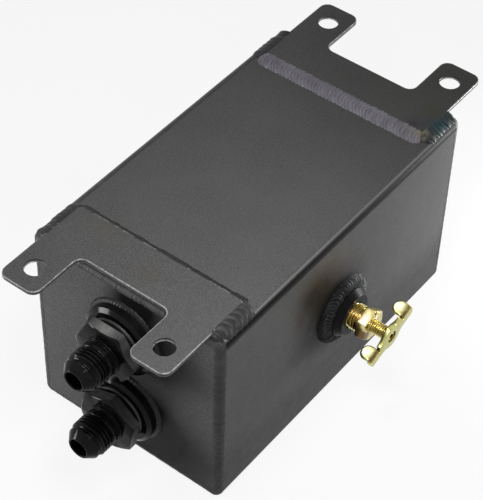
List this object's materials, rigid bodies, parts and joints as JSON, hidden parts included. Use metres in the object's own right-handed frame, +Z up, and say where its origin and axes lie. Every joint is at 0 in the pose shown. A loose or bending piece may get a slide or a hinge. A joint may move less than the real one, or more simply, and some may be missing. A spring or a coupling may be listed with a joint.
{
  "type": "oil catch can",
  "caption": "Welded square oil catch can with threaded hose ports on one end, a brass drain cock on the side and bolt-on mounting brackets.",
  "frame": {"origin": "centre of the tank's flat bottom face", "axes": "+Z up, out of the face that carries the brackets; -Y out of the hose ports; +X out of the drain cock"},
  "size_m": [0.1015, 0.1849, 0.0832],
  "materials": {
    "black_sheet": "satin black anodised sheet",
    "black_weld": "black anodised weld bead, rippled",
    "black_turned": "gloss black anodised, turned",
    "seal_rubber": "matt black nitrile",
    "cock_brass": "machined brass",
    "handle_brass": "bright polished pale brass"
  },
  "bodies": {
    "tank": {"tank_wrap": "black_sheet", "front_end_plate": "black_sheet", "rear_end_plate": "black_sheet", "front_end_weld": "black_weld", "rear_end_weld": "black_weld", "seam_weld": "black_weld", "baffle_plate": "black_sheet", "front_bracket": "black_sheet", "rear_bracket": "black_sheet", "front_bracket_weld": "black_weld", "rear_bracket_weld": "black_weld", "upper_port_bung": "black_turned", "lower_port_bung": "black_turned", "upper_bung_weld": "black_weld", "lower_bung_weld": "black_weld", "upper_o_ring": "seal_rubber", "lower_o_ring": "seal_rubber", "upper_port_fitting": "black_turned", "lower_port_fitting": "black_turned", "drain_bung": "black_turned", "drain_bung_weld": "black_weld", "drain_cock_body": "cock_brass"},
    "stem": {"drain_stem": "cock_brass"},
    "handle": {"drain_handle": "handle_brass"}
  },
  "joints": [
    {"name": "stem_travel", "type": "slide", "parent": "tank", "child": "stem", "axis": [1, 0, 0], "range_m": [0, 0.002]},
    {"name": "handle_turn", "type": "hinge", "parent": "stem", "child": "handle", "pos_m": [0.0611, 0, 0.0398], "axis": [1, 0, 0], "range_deg": [0, 900]}
  ],
  "couplings": [
    {"joint": "stem_travel", "follows": "handle_turn", "m_per_rad": 0.00012732}
  ]
}
